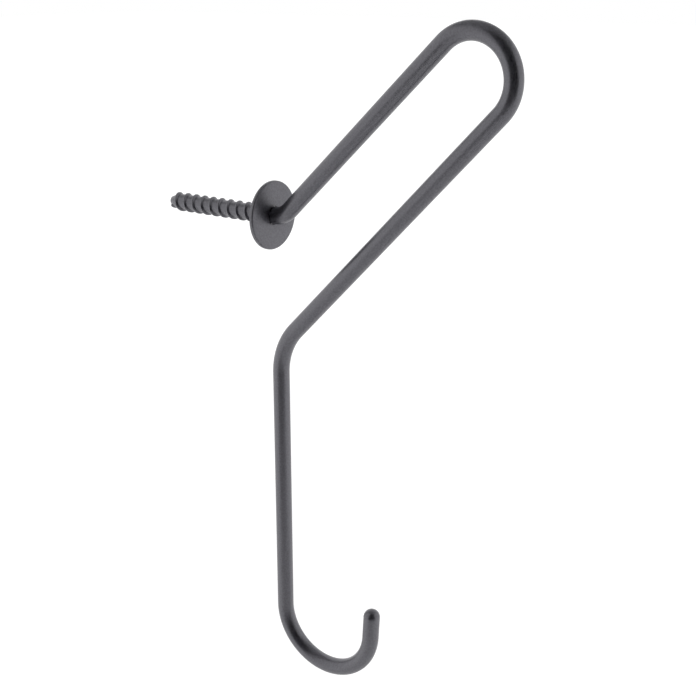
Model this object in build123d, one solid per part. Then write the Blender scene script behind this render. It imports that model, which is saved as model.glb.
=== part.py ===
from build123d import *
import os
from math import atan2, ceil, cos, degrees, radians, sin

# Screw-in coat and hat hook, bent from one round steel wire, with a loose washer behind its first bend.
# Millimetres and degrees. The wall is the plane Y = 0, the screw runs into it along +Y and +Z is up.

# Wire
wire_diameter = 5.0
hook_end_dome = 2.5

# Bends, each radius measured to the middle of the wire
neck_bend_radius = 7.5
loop_bend_radius = 11.75
wall_bend_radius = 20.0
hook_bend_radius = 16.4

# Bend angles: the neck lifts the wire off the level, the other two turn it back on itself
neck_turn = 44.0
loop_turn = 178.1
hook_turn = 176.8

# Straight runs of the wire
rise_length = 68.3
stem_length = 77.9
hook_end_length = 7.2

# Room that lets the hook turn as it is screwed in
stem_wall_clearance = 0.1

# Washer, slipped on the wire before the thread is rolled, which then keeps it there
washer_diameter = 19.8
washer_thickness = 1.2
washer_rim_chamfer = 0.35
washer_edge_break = 0.15
washer_hole_clearance = 0.12
washer_bend_clearance = 0.3

# Rolled wood-screw thread
screw_length = 38.5
thread_major_diameter = 5.7
thread_core_diameter = 4.6
thread_pitch = 3.4
thread_crest_width = 0.45
thread_base_width = 1.15
thread_base_sink = 0.15
thread_foot_depth = 0.4
thread_runout_length = 2.6
plain_shank_length = 3.4
neck_taper_length = 1.0
point_length = 2.7
point_diameter = 2.6
point_ridge_setback = 0.6

wire_radius = wire_diameter / 2
core_radius = thread_core_diameter / 2
major_radius = thread_major_diameter / 2
point_radius = point_diameter / 2
washer_radius = washer_diameter / 2
washer_hole_radius = wire_radius + washer_hole_clearance


def domed_end():
    """The rounded-off end of the coat hook, standing on its own z axis."""
    rim = EllipticalCenterArc((0, 0), wire_radius, hook_end_dome)
    axis = Line(rim @ 1, (0, 0))
    foot = Line((0, 0), rim @ 0)
    return revolve(Plane.XZ * make_face([rim, axis, foot]), Axis.Z)


def bent_wire():
    """The plain wire, from the start of the thread to the domed end of the coat hook."""
    # The route is drawn with x out of the wall and y up, then stood on the wall's own plane.
    bend_start = washer_thickness + washer_bend_clearance
    shank = Line((-plain_shank_length, 0), (bend_start, 0))
    neck = JernArc(shank @ 1, shank % 1, neck_bend_radius, neck_turn)
    rise = PolarLine(neck @ 1, rise_length, direction=neck % 1)
    loop = JernArc(rise @ 1, rise % 1, loop_bend_radius, -loop_turn)

    # The return leg is as long as it takes to bring the stem to its place in front of the wall.
    down = -90.0
    fall = neck_turn - loop_turn
    stem_place = wire_radius + stem_wall_clearance
    bend_reach = wall_bend_radius * (sin(radians(down)) - sin(radians(fall)))
    return_length = (stem_place - bend_reach - (loop @ 1).X) / cos(radians(fall))

    back = PolarLine(loop @ 1, return_length, direction=loop % 1)
    wall_bend = JernArc(back @ 1, back % 1, wall_bend_radius, down - fall)
    stem = PolarLine(wall_bend @ 1, stem_length, direction=wall_bend % 1)
    hook = JernArc(stem @ 1, stem % 1, hook_bend_radius, hook_turn)
    hook_end = PolarLine(hook @ 1, hook_end_length, direction=hook % 1)

    route = Plane.left * Wire([shank, neck, rise, loop, back, wall_bend, stem, hook, hook_end])
    section = Plane(origin=route @ 0, z_dir=route % 0) * Circle(wire_radius)
    end_place = Plane(origin=route @ 1, z_dir=route % 1)
    return sweep(section, path=route) + end_place * domed_end()


def screw_core():
    """The wire's end, rolled down to the root of the thread and drawn to a short blunt point."""
    profile = Polyline(
        (0, plain_shank_length),
        (wire_radius, plain_shank_length),
        (core_radius, plain_shank_length + neck_taper_length),
        (core_radius, screw_length - point_length),
        (point_radius, screw_length),
        (0, screw_length),
        close=True,
    )
    return revolve(make_face(profile), Axis.Y)


def ridge_along(helix):
    """The thread's ridge along one helix, with its foot sunk in the core."""
    # The section stands on the helix: x points away from the screw's axis, y runs along it.
    crest_height = major_radius - core_radius
    section = Polyline(
        (-thread_foot_depth, -thread_base_width / 2),
        (-thread_base_sink, -thread_base_width / 2),
        (crest_height, -thread_crest_width / 2),
        (crest_height, thread_crest_width / 2),
        (-thread_base_sink, thread_base_width / 2),
        (-thread_foot_depth, thread_base_width / 2),
        close=True,
    )
    place = Plane(origin=helix @ 0, x_dir=(0, 0, 1), z_dir=helix % 0)
    return sweep(place * make_face(section), path=helix, is_frenet=True)


def shank_ridge():
    """The right-hand ridge on the straight core, faded out where it meets the plain shank."""
    point_start = screw_length - point_length
    fade_start = plain_shank_length + neck_taper_length
    turns = ceil((point_start - fade_start) / thread_pitch)
    start = point_start - turns * thread_pitch
    helix = Helix(thread_pitch, turns * thread_pitch, core_radius, center=(0, start, 0), direction=(0, 1, 0))

    # A turned sleeve with a conical mouth trims the first turn down to nothing.
    sleeve_radius = major_radius + thread_base_width
    sleeve = Polyline(
        (0, start - thread_pitch),
        (0, fade_start),
        (core_radius - thread_foot_depth, fade_start),
        (major_radius + thread_base_sink, fade_start + thread_runout_length),
        (sleeve_radius, fade_start + thread_runout_length),
        (sleeve_radius, start - thread_pitch),
        close=True,
    )
    return ridge_along(helix) - revolve(make_face(sleeve), Axis.Y)


def point_ridge():
    """The same ridge carried on down the cone of the point, from the turn where the core starts to taper."""
    point_start = screw_length - point_length
    half_angle = degrees(atan2(core_radius - point_radius, point_length))
    helix = Helix(
        thread_pitch,
        point_length - point_ridge_setback,
        core_radius,
        center=(0, point_start, 0),
        direction=(0, 1, 0),
        cone_angle=-half_angle,
    )
    return ridge_along(helix)


def wall_washer():
    """A flat stamped washer that turns freely on the plain shank."""
    disc = Cylinder(washer_radius, washer_thickness, align=(Align.CENTER, Align.CENTER, Align.MIN))
    hole = Cylinder(washer_hole_radius, washer_thickness, align=(Align.CENTER, Align.CENTER, Align.MIN))
    ring = disc - hole

    # Stamping rolls the front of the outer rim down. The other edges are only broken.
    front_rim = ring.faces().sort_by(Axis.Z)[-1].outer_wire().edges()
    ring = chamfer(front_rim, washer_rim_chamfer)
    front_hole_edge = ring.faces().sort_by(Axis.Z)[-1].inner_wires().edges()
    back_edges = ring.faces().sort_by(Axis.Z)[0].edges()
    ring = chamfer(front_hole_edge + back_edges, washer_edge_break)
    return Plane.XZ * ring


nodes = {
    "wire_hook": bent_wire() + screw_core() + shank_ridge() + point_ridge(),
    "wall_washer": wall_washer(),
}

os.makedirs("parts", exist_ok=True)
for name, shape in nodes.items():
    export_step(shape, f"parts/{name}.step")
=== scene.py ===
# %% [markdown]
# # A screw-in coat hook of black wire
#
# The real thing is one steel wire, bent in a flat plane, with a wood screw rolled on its wall end and
# a loose washer behind the first bend. The construction model already holds every size. Here the same
# two pieces are modelled again with finer faces, because a render shows the roundness of a wire and
# the edges of a thread up close.

# %% Load the frame
from math import cos, pi, radians, sin

import bmesh
import bpy
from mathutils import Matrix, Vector


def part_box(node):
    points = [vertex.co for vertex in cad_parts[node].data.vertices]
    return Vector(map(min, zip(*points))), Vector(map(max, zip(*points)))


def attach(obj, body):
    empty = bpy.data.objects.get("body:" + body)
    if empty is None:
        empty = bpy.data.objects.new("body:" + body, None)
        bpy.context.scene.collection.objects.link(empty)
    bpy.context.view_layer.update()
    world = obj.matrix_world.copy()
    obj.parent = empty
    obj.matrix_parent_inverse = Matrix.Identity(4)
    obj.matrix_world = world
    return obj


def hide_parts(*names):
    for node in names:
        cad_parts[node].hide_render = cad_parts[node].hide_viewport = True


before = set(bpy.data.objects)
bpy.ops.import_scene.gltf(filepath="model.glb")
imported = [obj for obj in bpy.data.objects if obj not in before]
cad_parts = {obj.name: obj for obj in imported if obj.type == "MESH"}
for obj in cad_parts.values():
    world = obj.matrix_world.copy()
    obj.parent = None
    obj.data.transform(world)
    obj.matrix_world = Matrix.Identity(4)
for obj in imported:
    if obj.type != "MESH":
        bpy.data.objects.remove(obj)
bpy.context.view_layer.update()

mm = 0.001

# %% [markdown]
# ## The view
#
# The picture was taken from a short distance, a little from above and from the hook's left. The wire
# gets visibly thinner towards the wall, so the camera stands close and its lens is only slightly long.
# A camera turned by its tilt first and its compass angle second keeps the picture upright, so no roll
# is needed.

# %% Camera
camera_azimuth = radians(-54.59)
camera_elevation = radians(18.13)
camera_distance = 329.0 * mm
camera_lens_mm = 59.3
camera_clip = 10 * mm
aim_across = 22.00 * mm
aim_up = -38.19 * mm


def compass_direction(azimuth, elevation):
    """Where something lies at this compass angle and height, seen from the hook."""
    flat = cos(elevation)
    return Vector((sin(azimuth) * flat, -cos(azimuth) * flat, sin(elevation)))


to_camera = compass_direction(camera_azimuth, camera_elevation)
picture_right = Vector((0, 0, 1)).cross(to_camera).normalized()
picture_up = to_camera.cross(picture_right)
aim = picture_right * aim_across + picture_up * aim_up

bpy.ops.object.select_all(action="DESELECT")
bpy.ops.object.camera_add(
    location=aim + to_camera * camera_distance,
    rotation=(pi / 2 - camera_elevation, 0, camera_azimuth),
)
camera = bpy.context.object
camera.name = "camera"
camera.data.lens = camera_lens_mm
camera.data.clip_start = camera_clip
bpy.context.scene.camera = camera
print("camera at", [round(x, 3) for x in camera.location])

# %% [markdown]
# ## Nodes in code
#
# A material is a small tree of nodes, and every link takes a line of code. A few helpers keep that
# readable: one feeds a socket from another socket or with a plain value, one adds a step of
# arithmetic, and one starts a plain matt material for what stands round the hook. More follow where
# they are first needed.


# %% Helpers for nodes
def plug(tree, socket, source):
    """Feeds a socket from another socket, or sets it to a plain value."""
    if isinstance(source, bpy.types.NodeSocket):
        tree.links.new(source, socket)
    else:
        socket.default_value = source


def add_math(tree, operation, first, second):
    """Adds one step of arithmetic on two sockets or values."""
    node = tree.nodes.new("ShaderNodeMath")
    node.operation = operation
    plug(tree, node.inputs[0], first)
    plug(tree, node.inputs[1], second)
    return node.outputs[0]


def plain_material(name, grey):
    """A matt material of one grey, for what stands round the object."""
    material = bpy.data.materials.new(name)
    material.use_nodes = True
    surface = material.node_tree.nodes["Principled BSDF"]
    surface.inputs["Base Color"].default_value = (grey, grey, grey, 1)
    surface.inputs["Roughness"].default_value = 1
    surface.inputs["Specular IOR Level"].default_value = 0
    return material


print("helpers:", [helper.__name__ for helper in (plug, add_math, plain_material)])

# %% [markdown]
# ## The studio
#
# Small black hardware is photographed in a white tent: the wire mirrors white from all sides, and only
# the opening for the camera is dark. That dark opening is what draws the wire's middle as a darker
# stripe. So the world is plain white, the floor is pale, and a dark card stands on the camera's side.
# The card gets narrower upwards, and its foot is graded to a pale grey, as if the opening ended above
# the table. A grey card overhead takes some light off what faces up. Both cards are hidden from the
# camera itself, so that they never cover the hook in another view.

# %% Pale floor
floor_level = -600 * mm
floor_size = 30.0
floor_white = 0.86
floor_glow = 0.30

bpy.ops.object.select_all(action="DESELECT")
bpy.ops.mesh.primitive_plane_add(size=floor_size, location=(0, 0, floor_level))
floor = bpy.context.object
floor.name = "floor"
floor_paint = plain_material("floor_paint", floor_white)
floor.data.materials.append(floor_paint)

# The glow shows only to the camera and in reflections, so it lights nothing and leaves the shadow.
tree = floor_paint.node_tree
path = tree.nodes.new("ShaderNodeLightPath")
looked_at = add_math(tree, "MAXIMUM", path.outputs["Is Camera Ray"], path.outputs["Is Glossy Ray"])
surface = tree.nodes["Principled BSDF"]
surface.inputs["Emission Color"].default_value = (1, 1, 1, 1)
plug(tree, surface.inputs["Emission Strength"], add_math(tree, "MULTIPLY", looked_at, floor_glow))
print("floor at", round(floor_level / mm), "mm")

# %% Dark card on the camera's side
card_focus = Vector((0, -40, 20)) * mm
card_azimuth = radians(-58)
card_elevation = radians(20)
card_distance = 380 * mm
card_foot_width, card_top_width = 1500 * mm, 380 * mm
card_foot, card_top = -700 * mm, 350 * mm
card_top_shift = 50 * mm

bpy.ops.object.select_all(action="DESELECT")
bpy.ops.mesh.primitive_plane_add(
    size=1,
    location=card_focus + compass_direction(card_azimuth, card_elevation) * card_distance,
    rotation=(pi / 2 - card_elevation, 0, card_azimuth),
)
card = bpy.context.object
card.name = "dark_card"
card.visible_camera = False
for corner in card.data.vertices:
    at_top = corner.co.y > 0
    corner.co.x *= card_top_width if at_top else card_foot_width
    corner.co.x += card_top_shift if at_top else 0
    corner.co.y = card_top if at_top else card_foot
print("card from", round(card_foot / mm), "to", round(card_top / mm), "mm")

# %% Paint of the dark card
# Each pair is a height on the card, from foot to top, and its grey there.
card_shades = [(0.00, 0.80), (0.26, 0.66), (0.34, 0.01), (0.90, 0.01), (1.00, 0.12)]


def add_range(tree, value, from_range=(0, 1), to_range=(0, 1)):
    """Maps a value from one range to another, and holds it there."""
    node = tree.nodes.new("ShaderNodeMapRange")
    plug(tree, node.inputs["Value"], value)
    titles = ("From Min", "From Max", "To Min", "To Max")
    for title, source in zip(titles, (*from_range, *to_range)):
        plug(tree, node.inputs[title], source)
    return node.outputs["Result"]


card_paint = plain_material("card_paint", 0)
card.data.materials.append(card_paint)
tree = card_paint.node_tree
place = tree.nodes.new("ShaderNodeTexCoord")
apart = tree.nodes.new("ShaderNodeSeparateXYZ")
plug(tree, apart.inputs[0], place.outputs["Object"])
shades = tree.nodes.new("ShaderNodeValToRGB")
while len(shades.color_ramp.elements) < len(card_shades):
    shades.color_ramp.elements.new(0.5)
for stop, (where, shade) in zip(shades.color_ramp.elements, card_shades):
    stop.position = where
    stop.color = (shade, shade, shade, 1)
height = add_range(tree, apart.outputs["Y"], from_range=(card_foot, card_top))
plug(tree, shades.inputs["Fac"], height)
plug(tree, tree.nodes["Principled BSDF"].inputs["Base Color"], shades.outputs["Color"])
print("card has", len(shades.color_ramp.elements), "greys")

# %% Grey card overhead, and the white tent
roof_size = 1000 * mm
roof_level = 470 * mm
roof_grey = 0.65

bpy.ops.object.select_all(action="DESELECT")
bpy.ops.mesh.primitive_plane_add(
    size=roof_size,
    location=(card_focus.x, card_focus.y, roof_level),
    rotation=(0, 0, card_azimuth),
)
roof = bpy.context.object
roof.name = "roof_card"
roof.visible_camera = False
roof.data.materials.append(plain_material("roof_paint", roof_grey))

world = bpy.data.worlds.new("white_tent")
world.use_nodes = True
sky = world.node_tree.nodes["Background"]
sky.inputs["Color"].default_value = (1, 1, 1, 1)
sky.inputs["Strength"].default_value = 1.0
bpy.context.scene.world = world
bpy.context.scene.view_settings.view_transform = "Standard"
print("roof card at", round(roof_level / mm), "mm, world", world.name)

# %% [markdown]
# ## Working in edit mode
#
# An operator acts on whatever is selected, so each step first says what that is. Two small helpers do
# it: one adds a primitive with nothing else selected, and one selects, in edit mode, the points at a
# certain place.

# %% Helpers for edit mode
point_slack = 0.01 * mm


def add_primitive(name, operator, **where):
    """Adds one primitive alone, names it and applies its turn, so that its place is in its mesh."""
    bpy.ops.object.select_all(action="DESELECT")
    operator(**where)
    piece = bpy.context.object
    piece.name = name
    piece.data.name = name
    bpy.ops.object.transform_apply(location=True, rotation=True, scale=True)
    return piece


def pick_points(piece, test):
    """Selects the points whose place passes the test, and the edges and faces between them."""
    bpy.ops.mesh.select_mode(type="VERT")
    bpy.ops.mesh.select_all(action="DESELECT")
    mesh = bmesh.from_edit_mesh(piece.data)
    for point in mesh.verts:
        point.select_set(test(point.co))
    mesh.select_flush_mode()
    bmesh.update_edit_mesh(piece.data)


def near(value, target, slack=point_slack):
    return abs(value - target) < slack


print("points count as near within", round(point_slack / mm, 3), "mm")

# %% [markdown]
# ## The bent wire
#
# The real hook is made on a wire bender: feed the wire, bend it round a pin, feed it on. The model is
# made in the same way. A circle is the open end of the wire. Extrude feeds it straight on, and spin
# turns it round the pin of a bend, so every bend is a true arc and the wire keeps its thickness. A
# curve with a round bevel would be quicker, but its bends are only near to arcs.

# %% Sizes of the wire
wire_radius = 2.5 * mm
wire_sides = 64
plain_shank = 3.4 * mm
washer_to_bend = 0.3 * mm
neck_radius, neck_turn = 7.5 * mm, radians(44.0)
rise_length = 68.3 * mm
loop_radius, loop_turn = 11.75 * mm, radians(178.1)
wall_bend_radius = 20.0 * mm
stem_place = 2.6 * mm
stem_length = 77.9 * mm
hook_radius, hook_turn = 16.4 * mm, radians(176.8)
hook_end_length = 7.2 * mm

washer_low, washer_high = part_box("wall_washer")
washer_thickness = washer_high.y - washer_low.y
print("washer", round(washer_thickness / mm, 3), "mm thick")

# %% A wire end that feeds and bends
feed_step = 4.0 * mm
bend_step = radians(3)


class WireEnd:
    """The open end of the wire: where it is, and its heading in the plane of the hook."""

    def __init__(self, place):
        self.place = place
        self.heading = 0.0

    def ahead(self):
        return Vector((0, -cos(self.heading), sin(self.heading)))

    def aside(self):
        return Vector((0, sin(self.heading), cos(self.heading)))

    def feed(self, length):
        steps = max(1, round(length / feed_step))
        step = self.ahead() * (length / steps)
        for _ in range(steps):
            bpy.ops.mesh.extrude_region_move(TRANSFORM_OT_translate={"value": step})
        self.place += self.ahead() * length

    def bend(self, radius, turn):
        side = 1 if turn > 0 else -1
        pin = self.place + self.aside() * radius * side
        steps = max(2, round(abs(turn) / bend_step))
        bpy.ops.mesh.spin(steps=steps, angle=turn, center=pin, axis=(1, 0, 0))
        self.heading += turn
        self.place = pin - self.aside() * radius * side


print("a full turn takes", round(2 * pi / bend_step), "steps")

# %% Bend the wire
wire = add_primitive(
    "hook_wire",
    bpy.ops.mesh.primitive_circle_add,
    vertices=wire_sides,
    radius=wire_radius,
    location=(0, plain_shank, 0),
    rotation=(pi / 2, 0, 0),
)
bpy.ops.object.mode_set(mode="EDIT")
bpy.ops.mesh.select_all(action="SELECT")

end = WireEnd(Vector((0, plain_shank, 0)))
end.feed(plain_shank + washer_thickness + washer_to_bend)
end.bend(neck_radius, neck_turn)
end.feed(rise_length)
end.bend(loop_radius, -loop_turn)

# The return leg ends where the last small bend brings the stem to its place in front of the wall.
down = radians(-90)
bend_reach = wall_bend_radius * (sin(down) - sin(end.heading))
return_length = (stem_place - bend_reach + end.place.y) / cos(end.heading)
end.feed(return_length)
end.bend(wall_bend_radius, down - end.heading)
end.feed(stem_length)
end.bend(hook_radius, hook_turn)
end.feed(hook_end_length)
print("return leg", round(return_length / mm, 2), "mm")
print("wire ends at", [round(x / mm, 2) for x in end.place])

# %% [markdown]
# ## The domed end
#
# The wire's free end is ground to a dome, so that it catches no cloth. The open loop is fed on in short
# steps, and each step is drawn in as a quarter circle asks. The last ring is merged into one point. A
# bevel as wide as the wire itself would pinch in the middle.

# %% Draw the end in to a dome
dome_height = 2.5 * mm
dome_steps = 14

for step in range(1, dome_steps):
    before, after = (pi / 2 * k / dome_steps for k in (step - 1, step))
    rise = end.ahead() * dome_height * (sin(after) - sin(before))
    bpy.ops.mesh.extrude_region_move(TRANSFORM_OT_translate={"value": rise})
    shrink = cos(after) / cos(before)
    ring_middle = end.place + end.ahead() * dome_height * sin(after)
    bpy.ops.transform.resize(value=(shrink, shrink, shrink), center_override=ring_middle)
last_rise = end.ahead() * dome_height * (1 - sin(after))
bpy.ops.mesh.extrude_region_move(TRANSFORM_OT_translate={"value": last_rise})
bpy.ops.mesh.merge(type="CENTER")
bpy.ops.object.mode_set(mode="OBJECT")
print("dome", round(dome_height / mm, 2), "mm high, wire faces", len(wire.data.polygons))

# %% [markdown]
# ## The screw
#
# The thread is rolled into the wire's end: the root is pressed in and the ridge swells out, so the
# ridge is narrow and the root between two turns is wide and flat. The core is a circle extruded in
# three steps. The ridge is one small section swept by the Screw modifier, with its foot deep in the
# core, and proportional editing fades its first half turn and winds its last turn down the point.
# Sculpting a thread turn by turn would never give an even pitch.

# %% Core of the screw
screw_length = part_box("wire_hook")[1].y
core_radius = 2.3 * mm
neck_taper = 1.0 * mm
point_length = 2.7 * mm
point_radius = 1.3 * mm
point_edge = 0.2 * mm
edge_segments = 3

core = add_primitive(
    "screw_core",
    bpy.ops.mesh.primitive_circle_add,
    vertices=wire_sides,
    radius=wire_radius,
    fill_type="NGON",
    location=(0, plain_shank, 0),
    rotation=(pi / 2, 0, 0),
)
bpy.ops.object.mode_set(mode="EDIT")
bpy.ops.mesh.select_all(action="SELECT")
screw_steps = [
    (neck_taper, core_radius),
    (screw_length - point_length - neck_taper - plain_shank, core_radius),
    (point_length, point_radius),
]
depth, radius = plain_shank, wire_radius
for length, next_radius in screw_steps:
    bpy.ops.mesh.extrude_region_move(TRANSFORM_OT_translate={"value": (0, length, 0)})
    depth += length
    shrink = next_radius / radius
    bpy.ops.transform.resize(value=(shrink, 1, shrink), center_override=(0, depth, 0))
    radius = next_radius
bpy.ops.mesh.bevel(offset=point_edge, segments=edge_segments, affect="EDGES")
bpy.ops.mesh.select_all(action="SELECT")
bpy.ops.mesh.normals_make_consistent(inside=False)
bpy.ops.object.mode_set(mode="OBJECT")
print("core from", round(plain_shank / mm, 2), "to", round(depth / mm, 2), "mm")

# %% Section of the ridge
crest_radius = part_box("wire_hook")[1].x
ridge_start = 5.2 * mm
ridge_base = 1.15 * mm
ridge_crest = 0.45 * mm
ridge_foot_radius = 1.9 * mm
ridge_base_radius = 2.15 * mm
crest_round = 0.06 * mm

foot_middle = (0, ridge_start, (ridge_foot_radius + ridge_base_radius) / 2)
ridge = add_primitive(
    "screw_ridge",
    bpy.ops.mesh.primitive_plane_add,
    size=1,
    location=foot_middle,
    rotation=(0, pi / 2, 0),
)
bpy.ops.object.mode_set(mode="EDIT")
bpy.ops.mesh.select_all(action="SELECT")
bpy.ops.transform.resize(
    value=(1, ridge_base, ridge_base_radius - ridge_foot_radius), center_override=foot_middle
)
pick_points(ridge, lambda co: near(co.z, ridge_base_radius))
crest_rise = (0, 0, crest_radius - ridge_base_radius)
bpy.ops.mesh.extrude_region_move(TRANSFORM_OT_translate={"value": crest_rise})
bpy.ops.transform.resize(
    value=(1, ridge_crest / ridge_base, 1), center_override=(0, ridge_start, crest_radius)
)
bpy.ops.mesh.bevel(offset=crest_round, segments=edge_segments, affect="VERTICES")
bpy.ops.mesh.select_all(action="SELECT")
bpy.ops.mesh.dissolve_faces()
bpy.ops.mesh.delete(type="ONLY_FACE")
bpy.ops.object.mode_set(mode="OBJECT")
print("ridge section has", len(ridge.data.vertices), "points")

# %% Sweep the ridge round the core
thread_pitch = 3.4 * mm
point_setback = 0.6 * mm
steps_per_turn = 56


def apply_modifier(piece, kind, **settings):
    """Adds one modifier, sets it and applies it at once."""
    modifier = piece.modifiers.new(kind.lower(), kind)
    for name, value in settings.items():
        setattr(modifier, name, value)
    bpy.context.view_layer.objects.active = piece
    bpy.ops.object.modifier_apply(modifier=modifier.name)


ridge_end = screw_length - point_setback
ridge_turns = (ridge_end - ridge_start) / thread_pitch
ridge_steps = round(steps_per_turn * ridge_turns)
apply_modifier(
    ridge,
    "SCREW",
    axis="Y",
    angle=2 * pi * ridge_turns,
    screw_offset=ridge_end - ridge_start,
    iterations=1,
    steps=ridge_steps,
    render_steps=ridge_steps,
    use_smooth_shade=True,
)
print("ridge turns", round(ridge_turns, 2), "faces", len(ridge.data.polygons))

# %% Fade the ridge's start and wind its end down the point
fade_turns = 0.55
fade_shrink = 0.76
point_shrink = 0.73

point_turns = (ridge_end - (screw_length - point_length)) / thread_pitch
ridge_height = crest_radius - ridge_foot_radius
fade_reach = fade_turns * 2 * pi * ridge_foot_radius + ridge_height
point_reach = point_turns * 2 * pi * ridge_foot_radius + ridge_height
last_angle = 2 * pi * ridge_turns
last_out = Vector((sin(last_angle), 0, cos(last_angle)))


def on_first_section(co):
    return near(co.x, 0) and co.z > 0 and co.y < ridge_start + ridge_base


def on_last_section(co):
    flat = Vector((co.x, 0, co.z))
    in_plane = near(flat.cross(last_out).length, 0) and flat.dot(last_out) > 0
    return in_plane and co.y > ridge_end - ridge_base


bpy.ops.object.mode_set(mode="EDIT")
for section, shrink, reach in (
    (on_first_section, fade_shrink, fade_reach),
    (on_last_section, point_shrink, point_reach),
):
    pick_points(ridge, section)
    bpy.ops.transform.resize(
        value=(shrink, 1, shrink),
        center_override=(0, 0, 0),
        use_proportional_edit=True,
        use_proportional_connected=True,
        proportional_edit_falloff="LINEAR",
        proportional_size=reach,
    )
bpy.ops.mesh.select_all(action="SELECT")
bpy.ops.mesh.fill_holes(sides=0)
bpy.ops.mesh.normals_make_consistent(inside=False)
bpy.ops.object.mode_set(mode="OBJECT")
ridge_ends = [round(crest_radius * shrink / mm, 2) for shrink in (fade_shrink, point_shrink)]
print("ridge ends", ridge_ends, "mm out")

# %% Fuse ridge and core
apply_modifier(core, "BOOLEAN", operation="UNION", object=ridge, solver="EXACT")
bpy.data.objects.remove(ridge)
bpy.ops.object.select_all(action="DESELECT")
core.select_set(True)
bpy.context.view_layer.objects.active = core
bpy.ops.object.mode_set(mode="EDIT")
pick_points(core, lambda co: near(co.y, plain_shank))
bpy.ops.mesh.delete(type="ONLY_FACE")
bpy.ops.object.mode_set(mode="OBJECT")
print("screw has", len(core.data.polygons), "faces")

# %% Weld the screw to the wire
weld_distance = 0.001 * mm
smooth_angle = radians(32)

bpy.ops.object.select_all(action="DESELECT")
core.select_set(True)
wire.select_set(True)
bpy.context.view_layer.objects.active = wire
bpy.ops.object.join()
bpy.ops.object.mode_set(mode="EDIT")
bpy.ops.mesh.select_all(action="SELECT")
bpy.ops.mesh.remove_doubles(threshold=weld_distance)
bpy.ops.mesh.normals_make_consistent(inside=False)
bpy.ops.object.mode_set(mode="OBJECT")
bpy.ops.object.shade_smooth_by_angle(angle=smooth_angle)
print("hook has", len(wire.data.polygons), "faces")

# %% [markdown]
# ## The washer
#
# A flat washer is stamped from sheet: the front of its rim is rolled round by the punch and the back
# edge stays nearly sharp. A cylinder gives the disc, an inset on each face marks the hole, and bridging
# the two inner loops cuts it. A boolean would cut the hole too, but it leaves uneven faces, and a bevel
# needs clean rings. At the end each rim gets a bevel of its own.

# %% Disc and hole
washer_radius = washer_high.x
washer_sides = 128
hole_clearance = 0.12 * mm
hole_radius = wire_radius + hole_clearance
ring_slack = 0.05 * mm


def off_axis(co):
    """How far a point lies from the screw's axis."""
    return Vector((co.x, co.z)).length


washer = add_primitive(
    "flat_washer",
    bpy.ops.mesh.primitive_cylinder_add,
    vertices=washer_sides,
    radius=washer_radius,
    depth=washer_thickness,
    location=(0, (washer_low.y + washer_high.y) / 2, 0),
    rotation=(pi / 2, 0, 0),
)
bpy.ops.object.mode_set(mode="EDIT")
bpy.ops.mesh.select_mode(type="FACE")
bpy.ops.mesh.select_all(action="DESELECT")
mesh = bmesh.from_edit_mesh(washer.data)
# Only the two flat faces look along the screw's axis.
for face in mesh.faces:
    face.select_set(abs(face.normal.y) > 0.5)
bmesh.update_edit_mesh(washer.data)
bpy.ops.mesh.inset(thickness=washer_radius - hole_radius, use_individual=True)
bpy.ops.mesh.delete(type="FACE")
pick_points(washer, lambda co: near(off_axis(co), hole_radius, ring_slack))
bpy.ops.mesh.bridge_edge_loops()
bpy.ops.mesh.select_all(action="SELECT")
bpy.ops.mesh.normals_make_consistent(inside=False)
print("washer hole", round(2 * hole_radius / mm, 2), "mm")

# %% Rims of the washer
rolled_rim, rolled_segments = 0.45 * mm, 5
back_rim = 0.20 * mm
hole_edge = 0.15 * mm

rim_bevels = [
    (washer_radius, washer_low.y, rolled_rim, rolled_segments),
    (washer_radius, washer_high.y, back_rim, edge_segments),
    (hole_radius, washer_low.y, hole_edge, edge_segments),
    (hole_radius, washer_high.y, hole_edge, edge_segments),
]
for radius, depth, bevel, segments in rim_bevels:
    pick_points(washer, lambda co: near(co.y, depth) and near(off_axis(co), radius, ring_slack))
    bpy.ops.mesh.bevel(offset=bevel, segments=segments, affect="EDGES")
bpy.ops.object.mode_set(mode="OBJECT")
bpy.ops.object.shade_smooth_by_angle(angle=smooth_angle)
print("washer has", len(washer.data.polygons), "faces")

# %% [markdown]
# ## The black coat
#
# Both pieces carry a thin satin black coat. Close up it has a fine grain that shows as light and dark
# specks and as a slight relief, and its gloss changes in soft clouds. What sticks out is painted
# lighter:
# on the washer's rim that is the coat rubbed thinner, and on the thread's crest it is partly rubbed
# coat and partly a painted highlight that draws the crest as a bright line. Painted image maps could
# show that too, but noise on object coordinates needs no unwrapping and stays sharp close up. Grain and
# the lighter edges are wanted in two materials, so each is a node group, built once.


# %% Node group: grain of the coat
def start_group(name, inputs, outputs):
    """A shader node group with named sockets for plain numbers. Inputs come with a default value."""
    group = bpy.data.node_groups.new(name, "ShaderNodeTree")
    for title, value in inputs.items():
        socket = group.interface.new_socket(
            name=title, in_out="INPUT", socket_type="NodeSocketFloat"
        )
        socket.default_value = value
    for title in outputs:
        group.interface.new_socket(name=title, in_out="OUTPUT", socket_type="NodeSocketFloat")
    return group, group.nodes.new("NodeGroupInput"), group.nodes.new("NodeGroupOutput")


grain_detail, cloud_detail = 2.0, 4.0

coat_grain, given, made = start_group(
    "coat_grain", {"Grain Scale": 2000.0, "Cloud Scale": 160.0}, ["Grain", "Cloud"]
)
place = coat_grain.nodes.new("ShaderNodeTexCoord")
for result, detail in (("Grain", grain_detail), ("Cloud", cloud_detail)):
    noise = coat_grain.nodes.new("ShaderNodeTexNoise")
    noise.inputs["Detail"].default_value = detail
    plug(coat_grain, noise.inputs["Vector"], place.outputs["Object"])
    plug(coat_grain, noise.inputs["Scale"], given.outputs[f"{result} Scale"])
    plug(coat_grain, made.inputs[result], noise.outputs["Fac"])
print("group", coat_grain.name, "with", len(coat_grain.nodes), "nodes")

# %% Node group: lighter edges, worn coat and a painted crest highlight
patch_range = (0.35, 0.65)

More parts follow.
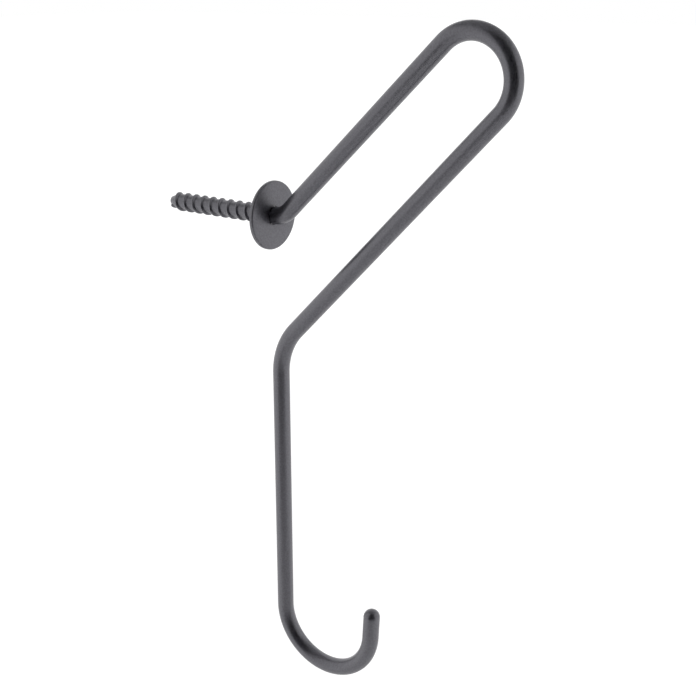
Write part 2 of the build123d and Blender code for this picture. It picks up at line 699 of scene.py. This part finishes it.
coat_wear_and_highlight, given, made = start_group(
    "coat_wear_and_highlight",
    {
        "Inner Radius": 1.0,
        "Outer Radius": 2.0,
        "From Depth": 0.0,
        "Rolled Depth": 1.0,
        "Patch Scale": 600.0,
    },
    ["Rub", "Rolled"],
)
place = coat_wear_and_highlight.nodes.new("ShaderNodeTexCoord")
apart = coat_wear_and_highlight.nodes.new("ShaderNodeSeparateXYZ")
plug(coat_wear_and_highlight, apart.inputs[0], place.outputs["Object"])
across = coat_wear_and_highlight.nodes.new("ShaderNodeCombineXYZ")
plug(coat_wear_and_highlight, across.inputs["X"], apart.outputs["X"])
plug(coat_wear_and_highlight, across.inputs["Z"], apart.outputs["Z"])
from_axis = coat_wear_and_highlight.nodes.new("ShaderNodeVectorMath")
from_axis.operation = "LENGTH"
plug(coat_wear_and_highlight, from_axis.inputs[0], across.outputs[0])
radii = (given.outputs["Inner Radius"], given.outputs["Outer Radius"])
stand_out = add_range(coat_wear_and_highlight, from_axis.outputs["Value"], from_range=radii)

depth = apart.outputs["Y"]
behind = add_math(coat_wear_and_highlight, "GREATER_THAN", depth, given.outputs["From Depth"])
rolled = add_math(coat_wear_and_highlight, "GREATER_THAN", depth, given.outputs["Rolled Depth"])
patches = coat_wear_and_highlight.nodes.new("ShaderNodeTexNoise")
plug(coat_wear_and_highlight, patches.inputs["Vector"], place.outputs["Object"])
plug(coat_wear_and_highlight, patches.inputs["Scale"], given.outputs["Patch Scale"])
patch_mask = add_range(coat_wear_and_highlight, patches.outputs["Fac"], from_range=patch_range)
there = add_math(coat_wear_and_highlight, "MULTIPLY", stand_out, behind)
# The mark is worn coat on the washer's rim, and worn coat plus a painted highlight on the thread's
# crest.
plug(coat_wear_and_highlight, made.inputs["Rub"], add_math(coat_wear_and_highlight, "MULTIPLY", there, patch_mask))
plug(coat_wear_and_highlight, made.inputs["Rolled"], rolled)
print("group", coat_wear_and_highlight.name, "with", len(coat_wear_and_highlight.nodes), "nodes")

# %% One coat, for any piece
coat_ior = 2.13
coat_tint = (0.93, 0.92, 1.0)
speckle_range = (0.35, 0.65)
relief_range = (1.0, 1.5)
grain_strength = 0.5
grain_depth = 0.02 * mm


def add_mix(tree, factor, first, second):
    """Adds a mix of two colours."""
    node = tree.nodes.new("ShaderNodeMix")
    node.data_type = "RGBA"
    plug(tree, node.inputs["Factor"], factor)
    plug(tree, node.inputs["A"], first)
    plug(tree, node.inputs["B"], second)
    return node.outputs["Result"]


def black_coat(name, dark, light, wear_and_highlight_colour, rough_range, wear_and_highlight_values):
    """A satin black coat: speckles, painted wear and highlight, uneven gloss and a fine relief."""
    material = bpy.data.materials.new(name)
    material.use_nodes = True
    tree = material.node_tree
    surface = tree.nodes["Principled BSDF"]
    surface.inputs["IOR"].default_value = coat_ior
    surface.inputs["Specular Tint"].default_value = (*coat_tint, 1)

    grain = tree.nodes.new("ShaderNodeGroup")
    grain.node_tree = coat_grain
    wear_and_highlight_node = tree.nodes.new("ShaderNodeGroup")
    wear_and_highlight_node.node_tree = coat_wear_and_highlight
    for title, value in wear_and_highlight_values.items():
        wear_and_highlight_node.inputs[title].default_value = value

    speckle = add_range(tree, grain.outputs["Grain"], from_range=speckle_range)
    speckled = add_mix(tree, speckle, (*dark, 1), (*light, 1))
    # What sticks out turns lighter: worn coat, and on the thread's crest also a painted highlight.
    colour = add_mix(tree, wear_and_highlight_node.outputs["Rub"], speckled, (*wear_and_highlight_colour, 1))
    plug(tree, surface.inputs["Base Color"], colour)
    gloss = add_range(tree, grain.outputs["Cloud"], to_range=rough_range)
    plug(tree, surface.inputs["Roughness"], gloss)

    relief = add_range(tree, wear_and_highlight_node.outputs["Rolled"], to_range=relief_range)
    bump = tree.nodes.new("ShaderNodeBump")
    bump.inputs["Strength"].default_value = grain_strength
    bump.inputs["Distance"].default_value = grain_depth
    height = add_math(tree, "MULTIPLY", grain.outputs["Grain"], relief)
    plug(tree, bump.inputs["Height"], height)
    plug(tree, surface.inputs["Normal"], bump.outputs["Normal"])
    return material


print("coat's index of refraction", coat_ior)

# %% Coats of the wire and the washer
# The thread's crest is painted lighter, partly as coat rubbed thin and partly as a painted highlight
# line.
crest_wear_and_highlight_from, crest_wear_and_highlight_to = 0.25 * mm, 0.05 * mm
rim_rub_from = 0.3 * mm
washer_margin = 1 * mm

wire_coat = black_coat(
    "wire_coat",
    dark=(0.019, 0.018, 0.023),
    light=(0.054, 0.053, 0.063),
    # Colour of the crest: worn coat and a painted highlight.
    wear_and_highlight_colour=(0.120, 0.120, 0.130),
    rough_range=(0.29, 0.37),
    wear_and_highlight_values={
        "Inner Radius": crest_radius - crest_wear_and_highlight_from,
        "Outer Radius": crest_radius - crest_wear_and_highlight_to,
        "From Depth": plain_shank,
        "Rolled Depth": plain_shank + neck_taper,
    },
)
washer_coat = black_coat(
    "washer_coat",
    dark=(0.010, 0.009, 0.014),
    light=(0.048, 0.047, 0.057),
    wear_and_highlight_colour=(0.070, 0.070, 0.075),
    rough_range=(0.36, 0.46),
    wear_and_highlight_values={
        "Inner Radius": washer_radius - rim_rub_from,
        "Outer Radius": washer_radius,
        "From Depth": washer_low.y - washer_margin,
    },
)
for piece, coat in ((wire, wire_coat), (washer, washer_coat)):
    piece.data.materials.clear()
    piece.data.materials.append(coat)
print("coats:", wire_coat.name, washer_coat.name)

# %% [markdown]
# ## Hand over
#
# Nothing on this hook moves, so both pieces ride on the one body. Each stands for its construction
# node, which stays in the simulation for collision.

# %% Ride and replace
for piece, node, slot in (
    (wire, "wire_hook", "black_coat_wire"),
    (washer, "wall_washer", "black_coat_washer"),
):
    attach(piece, "root")
    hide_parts(node)

bpy.context.view_layer.update()
